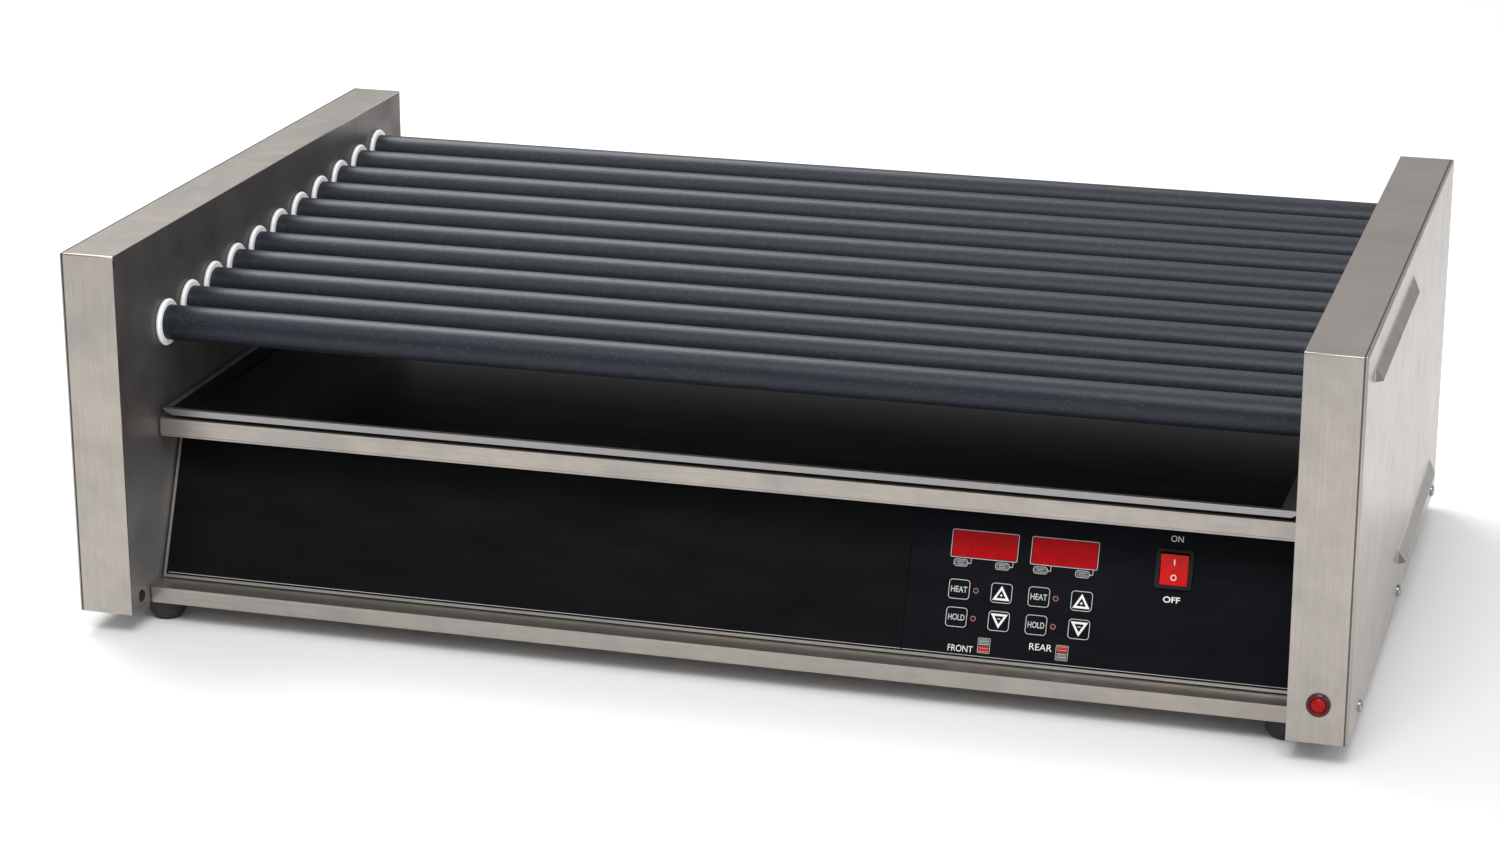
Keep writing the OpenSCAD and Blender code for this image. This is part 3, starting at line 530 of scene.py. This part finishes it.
def lettering(name, body, plane, text, centre, width, height, material, bold=0.0):
    """A printed word of an exact width and letter height."""
    curve, (x0, x1, y0, y1) = words(text, bold)
    mesh = print_mesh(Plane((0, 0, 0), Z), curve)
    grow = Matrix.Diagonal((width / (x1 - x0), height / (y1 - y0), 1, 1))
    mesh.transform(grow @ Matrix.Translation((-(x0 + x1) / 2, -(y0 + y1) / 2, 0)))
    mesh.transform(plane.matrix() @ Matrix.Translation((*centre, 0)))
    return piece(name, mesh, material, body)


def printed(name, body, plane, loops, material, lift=0.0):
    return piece(name, print_mesh(plane, outlines(*loops), lift), material, body)


def arc(centre, radius, start, end, steps):
    """Points round an arc, from one angle to another, in degrees."""
    angles = [math.radians(start + (end - start) * i / steps) for i in range(steps + 1)]
    return [(centre[0] + radius * math.cos(a), centre[1] + radius * math.sin(a)) for a in angles]


def disc(centre, radius):
    return arc(centre, radius, 0, 345, 23)


def rounded(centre, size, radius, grow=0.0):
    """Rounded rectangle, grown outwards all round by grow."""
    half_u, half_v = size[0] / 2 + grow, size[1] / 2 + grow
    r = max(radius + grow, 0.05 * MM)
    corners = [(1, 1, 0), (-1, 1, 90), (-1, -1, 180), (1, -1, 270)]
    points = []
    for su, sv, start in corners:
        middle = (centre[0] + su * (half_u - r), centre[1] + sv * (half_v - r))
        points += arc(middle, r, start, start + 90, 6)
    return points


def frame_line(centre, size, radius, stroke):
    """The two outlines of a rounded frame whose outer edge has the given size."""
    return [rounded(centre, size, radius), rounded(centre, size, radius, -stroke)]


def bar(centre, length, height):
    return rounded(centre, (length, height), 0.0)


# ---------------------------------------------------------------- printing on the control panel

# The keys are pressed straight into the panel. Its origin is the overlay's lowest edge, in its face.
press = next(j for j in frame["joints"] if j["name"] == "front_heat_key_press")
overlay_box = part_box("control_overlay")
panel = Plane((0, overlay_box[0].y, overlay_box[0].z), -Vector(press["axis"]))
panel.origin = panel.origin + panel.w * panel.span("control_overlay")[1].z
seam_u = panel.span("control_overlay")[0].x
panel_left, panel_right = panel.span("blank_panel")[0].x, panel.span("control_overlay")[1].x

STROKE = 0.45 * MM


def key_plane(key):
    """Plane with its origin in the middle of a key's face."""
    low, high = panel.span(key)
    return Plane(panel.at((low.x + high.x) / 2, (low.y + high.y) / 2, high.z), panel.w), high - low


def key_outline(key):
    plane, size = key_plane(key)
    inset = 0.3 * MM
    loops = frame_line((0, 0), (size.x - 2 * inset, size.y - 2 * inset), 2.4 * MM, STROKE)
    printed(f"{key}_outline", key, plane, loops, PALE)


def key_word(key, word):
    plane, _ = key_plane(key)
    lettering(f"{key}_word", key, plane, word, (0, 0), 11.4 * MM, 4.2 * MM, PALE, 0.01)


def key_arrow(key, up):
    """Thick triangle, pointing up with a plus in it or down with a minus."""
    plane, _ = key_plane(key)
    side = 1 if up else -1
    half, height, stroke = 6.0 * MM, 10.0 * MM, 1.5 * MM

    def triangle(inset):
        slope = math.atan2(height, half)
        apex = height / 2 - inset / math.cos(slope)
        base = -height / 2 + inset
        reach = half * (apex - base) / height
        return [(-reach, side * base), (reach, side * base), (0, side * apex)]

    printed(f"{key}_arrow", key, plane, [triangle(0), triangle(stroke)], WHITE)
    sign = (0, side * -1.6 * MM)
    arms = [bar(sign, 2.0 * MM, 0.55 * MM)]
    if up:
        # Each arm of the plus has three corners: one at its root and two at its end.
        arm, thick = 1.0 * MM, 0.28 * MM
        arms = [[
            (sign[0] + a * p + b * q, sign[1] + a * q - b * p)
            for p, q in ((1, 0), (0, 1), (-1, 0), (0, -1))
            for a, b in ((thick, thick), (arm, thick), (arm, -thick))
        ]]
    printed(f"{key}_sign", key, plane, arms, WHITE)


def zone_middle(zone):
    keys = [panel.span(f"{zone}_{key}_key") for key in ("heat", "up")]
    return sum(low.x + high.x for low, high in keys) / 4


def display_print(zone, middle):
    """Pale frame round a display, with two small timer badges tied to its lower edge."""
    low, high = panel.span("display_windows")
    v, height = (low.y + high.y) / 2, high.y - low.y
    width = 44.8 * MM
    margin_u, margin_v, drop = 2.0 * MM, 1.6 * MM, 3.4 * MM
    frame_size = (width + margin_u, height + margin_v)
    outline = frame_line((middle, v), frame_size, 1.3 * MM, STROKE)
    printed(f"{zone}_display_frame", "cabinet", panel, outline, PALE)
    frame_bottom = v - frame_size[1] / 2
    badge_v = frame_bottom - drop
    size = (10.0 * MM, 5.0 * MM)
    loops = []
    for offset in (-15.7 * MM, 13.4 * MM):
        centre = (middle + offset, badge_v)
        loops += frame_line(centre, size, 2.0 * MM, 0.4 * MM)
        loops += frame_line(centre, (size[0] - 2.2 * MM, size[1] - 2.0 * MM), 1.0 * MM, 0.25 * MM)
        loops += [bar((centre[0], centre[1] + row * 0.55 * MM), 5.4 * MM, 0.35 * MM) for row in (-1, 1)]
        loops.append(tie(centre[0] + size[0] / 2, badge_v, frame_bottom, 2.3 * MM, 0.4 * MM))
    printed(f"{zone}_display_badges", "cabinet", panel, loops, PALE)


def tie(u, v, top, reach, stroke):
    """L-shaped line from a badge's side out and up to the display frame, lapping a little over both."""
    lap = 0.1 * MM
    outer, inner = u + reach, u + reach - stroke
    return [
        (u - lap, v - stroke / 2), (outer, v - stroke / 2), (outer, top + lap),
        (inner, top + lap), (inner, v + stroke / 2), (u - lap, v + stroke / 2),
    ]


def display_digits(zone, middle):
    """Three unlit seven-segment digits, just visible, as thin shapes on the red window's face."""
    low, high = panel.span("display_windows")
    digit_w, digit_h, bar_w, step = 6.4 * MM, 11.6 * MM, 1.25 * MM, 12.2 * MM
    lean = math.tan(math.radians(6))
    centre_v = (low.y + high.y) / 2

    def segment(cu, cv, length, upright):
        end, half = length / 2, bar_w / 2
        shape = [(-end, 0), (-end + half, half), (end - half, half), (end, 0), (end - half, -half),
                 (-end + half, -half)]
        turned = [(q, p) if upright else (p, q) for p, q in shape]
        return [(cu + p + (cv + q) * lean, cv + q) for p, q in turned]

    loops = []
    for digit in (-1, 0, 1):
        half_h, gap = digit_h / 2, 0.3 * MM
        bars = [(0, row * half_h, digit_w - gap, False) for row in (-1, 0, 1)]
        for side in (-1, 1):
            bars += [(side * digit_w / 2, row * half_h / 2, half_h - gap, True) for row in (-1, 1)]
        for cu, cv, length, upright in bars:
            shape = segment(cu, cv, length, upright)
            loops.append([(middle + digit * step + p, centre_v + q) for p, q in shape])
    printed(f"{zone}_display_digits", "cabinet", panel, loops, UNLIT, high.z)


def zone_label(zone, word, word_at, word_w, icon_at, front):
    """The word for a half of the rollers, and a badge of cool and hot lines beside it."""
    lettering(f"{zone}_label", "cabinet", panel, word, word_at, word_w, 4.5 * MM, WHITE)
    width, height = 8.6 * MM, 10.4 * MM
    first, step, line_h = 0.75 * MM, 1.1 * MM, 0.75 * MM
    cool_side = 1 if front else -1
    outline = frame_line(icon_at, (width, height), 0.6 * MM, 0.3 * MM)
    printed(f"{zone}_badge_frame", "cabinet", panel, outline, PALE)
    halves = (("cool", (BLUE_INK, AMBER_INK), cool_side), ("hot", (RED_INK, ROSE_INK), -cool_side))
    for part, inks, side in halves:
        for row, material in enumerate(inks):
            offsets = [side * (first + step * (2 * k + row)) for k in (0, 1)]
            lines = [bar((icon_at[0], icon_at[1] + v), width - 1.6 * MM, line_h) for v in offsets]
            printed(f"{zone}_badge_{part}_{row}", "cabinet", panel, lines, material)


def indicator_rings():
    """Rose ring round each indicator, between the left-hand and right-hand keys."""
    low, high = panel.span("indicator_leds")
    radius = 1.5 * MM
    loops = []
    ring_out, ring_in = radius + 0.35 * MM, radius - 0.05 * MM
    for u in (low.x + radius, high.x - radius):
        for key in ("hold", "heat"):
            key_low, key_high = panel.span(f"front_{key}_key")
            v = (key_low.y + key_high.y) / 2
            loops += [disc((u, v), ring_out), disc((u, v), ring_in)]
    printed("indicator_rings", "cabinet", panel, loops, RING_INK)


def pinstripe():
    """Fine pale line along the bottom of both black sheets."""
    v, edge, seam_gap = 1.9 * MM, 1.5 * MM, 0.4 * MM
    ends = [(panel_left + edge, seam_u - seam_gap), (seam_u + seam_gap, panel_right - edge)]
    loops = [bar(((a + b) / 2, v), b - a, 0.35 * MM) for a, b in ends]
    printed("panel_pinstripe", "cabinet", panel, loops, PALE)


def switch_labels():
    low, high = panel.span("rocker_bezel")
    middle, gap, letter_h, bezel_h = (low.x + high.x) / 2, 7.2 * MM, 4.2 * MM, 27 * MM
    bottom, top = high.y - bezel_h, high.y
    lettering("switch_on_label", "cabinet", panel, "ON", (middle, top + gap), 8.4 * MM, letter_h, WHITE)
    off_at = (middle, bottom - gap)
    lettering("switch_off_label", "cabinet", panel, "OFF", off_at, 11.6 * MM, letter_h, WHITE, 0.02)


def rocker_marks():
    """The on and off marks, each on its own half of the rocker's face."""
    # For the upper and the lower half: its faces' centres and normals, added up by area, and its area.
    halves = {upper: [Vector(), Vector(), 0.0] for upper in (True, False)}
    centre = (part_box("rocker")[0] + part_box("rocker")[1]) / 2
    for polygon in nodes["rocker"].data.polygons:
        if polygon.normal.dot(panel.w) < 0.9:
            continue
        half = halves[(polygon.center - centre).dot(panel.v) > 0]
        half[0] = half[0] + polygon.center * polygon.area
        half[1] = half[1] + polygon.normal * polygon.area
        half[2] += polygon.area
    marks = {
        True: ("rocker_on_mark", [bar((0, 0), 0.8 * MM, 4.0 * MM)]),
        False: ("rocker_off_mark", [disc((0, 0), 2.1 * MM), disc((0, 0), 1.4 * MM)]),
    }
    for upper, (name, loops) in marks.items():
        place, normal, area = halves[upper]
        printed(name, "rocker", Plane(place / area, normal), loops, WHITE)


for zone in ("front", "rear"):
    middle = zone_middle(zone)
    display_print(zone, middle)
    display_digits(zone, middle)
    for key in ("heat", "up", "hold", "down"):
        key_outline(f"{zone}_{key}_key")
    for key in ("heat", "hold"):
        key_word(f"{zone}_{key}_key", key.upper())
    for key in ("up", "down"):
        key_arrow(f"{zone}_{key}_key", key == "up")

front_u, rear_u = zone_middle("front"), zone_middle("rear")
front_word, front_badge = (front_u - 10 * MM, 6.1 * MM), (front_u + 6.2 * MM, 9.6 * MM)
rear_word, rear_badge = (rear_u - 10.2 * MM, 12.4 * MM), (rear_u + 4.7 * MM, 10.0 * MM)
zone_label("front", "FRONT", front_word, 17.4 * MM, front_badge, True)
zone_label("rear", "REAR", rear_word, 15.6 * MM, rear_badge, False)
indicator_rings()
pinstripe()
switch_labels()
rocker_marks()


# ---------------------------------------------------------------- pilot lamp

def pilot_lens():
    """Domed lens with moulded rings, in place of the plain one."""
    low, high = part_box("pilot_lamp_lens")
    centre = (low + high) / 2
    radius, front, back = (high.x - low.x) / 2, low.y, high.y
    dome, ridge, rings, steps = 2.2 * MM, 0.3 * MM, 4, 60
    profile = [(0, 0.0)]
    for i in range(1, steps + 1):
        share = i / steps
        fall = dome * share * share
        ring = ridge * (1 - math.cos(2 * math.pi * rings * share)) / 2 * (1 - share)
        profile.append((radius * share, fall + ring))
    profile += [(radius, back - front), (0, back - front)]
    mesh = lathe(profile, Vector((centre.x, front, centre.z)), Y)
    red = window_finish("lamp_lens", (0.30, 0.004, 0.004))
    lens = piece("pilot_lens", mesh, red, "cabinet")
    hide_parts("pilot_lamp_lens")


pilot_lens()


# ---------------------------------------------------------------- edges of folded sheet

def soften(name, width, segments=2):
    """Rounds a node's hard edges by a modifier, after welding the vertices that its faces share."""
    weld = nodes[name].modifiers.new("weld", "WELD")
    weld.merge_threshold = 0.002 * MM
    bevel = nodes[name].modifiers.new("soft_edges", "BEVEL")
    bevel.width = width
    bevel.segments = segments
    bevel.limit_method = "ANGLE"
    bevel.angle_limit = math.radians(35)
    bevel.harden_normals = True


SOFT_EDGES = {
    "top_deck": 0.45, "base_pan": 0.45, "drip_tray": 0.3,
    "left_side_cover": 0.25, "right_side_cover": 0.25,
    "rocker": 0.3, "rocker_bezel": 0.25,
}
for name, width in SOFT_EDGES.items():
    soften(name, width * MM)


# ---------------------------------------------------------------- floor, light and camera

def floor():
    bm = bmesh.new()
    bmesh.ops.create_grid(bm, x_segments=1, y_segments=1, size=40)
    mesh = bpy.data.meshes.new("floor")
    bm.to_mesh(mesh)
    bm.free()
    obj = bpy.data.objects.new("floor", mesh)
    bpy.context.scene.collection.objects.link(obj)
    s = Shader("pale_floor")
    s.colour(s.mix(s.noise(0.6, 2), (0.80, 0.80, 0.80), (0.84, 0.84, 0.84)))
    s.rough(0.7)
    obj.data.materials.append(s.material)


def softbox(name, place, size, power, target=(0, 0, 0.12)):
    light = bpy.data.lights.new(name, "AREA")
    light.shape = "RECTANGLE"
    light.size, light.size_y = size
    light.energy = power
    obj = bpy.data.objects.new(name, light)
    obj.location = place
    obj.rotation_euler = (Vector(target) - Vector(place)).to_track_quat("-Z", "Y").to_euler()
    bpy.context.scene.collection.objects.link(obj)


def world(levels):
    """Even studio surroundings: levels holds (height of the direction, brightness) pairs."""
    made = bpy.data.worlds.new("studio")
    made.use_nodes = True
    tree = made.node_tree
    direction = tree.nodes.new("ShaderNodeTexCoord").outputs["Generated"]
    height = tree.nodes.new("ShaderNodeSeparateXYZ")
    ramp = tree.nodes.new("ShaderNodeValToRGB")
    tree.links.new(direction, height.inputs[0])
    tree.links.new(height.outputs["Z"], ramp.inputs["Fac"])
    tree.links.new(ramp.outputs["Color"], tree.nodes["Background"].inputs["Color"])
    stops = ramp.color_ramp.elements
    while len(stops) < len(levels):
        stops.new(0.5)
    for stop, (place, level) in zip(stops, levels):
        stop.position = place
        stop.color = (level, level, level, 1)
    bpy.context.scene.world = made


def camera():
    """Camera at the photograph's viewing angle: right of the middle, looking down and to the left."""
    look_down, look_left = math.radians(18.016), math.radians(16.064)
    sensor, focal_length = 36, 86.65
    data = bpy.data.cameras.new("camera")
    data.sensor_width, data.lens = sensor, focal_length
    data.clip_start, data.clip_end = 0.01, 100
    obj = bpy.data.objects.new("camera", data)
    obj.location = (0.6816, -2.4748, 0.9428)
    obj.rotation_euler = (math.pi / 2 - look_down, 0, look_left)
    bpy.context.scene.collection.objects.link(obj)
    bpy.context.scene.camera = obj


floor()
world([(0.0, 0.62), (0.11, 0.55), (0.16, 0.12), (0.35, 0.6), (1.0, 1.0)])
softbox("key", (0.4, -2.1, 3.0), (2.0, 1.4), 64)
softbox("fill", (2.9, -2.0, 1.5), (1.6, 1.6), 22)
softbox("top", (-1.3, 1.2, 2.3), (2.0, 1.2), 58)
camera()
bpy.context.scene.view_settings.view_transform = "Standard"
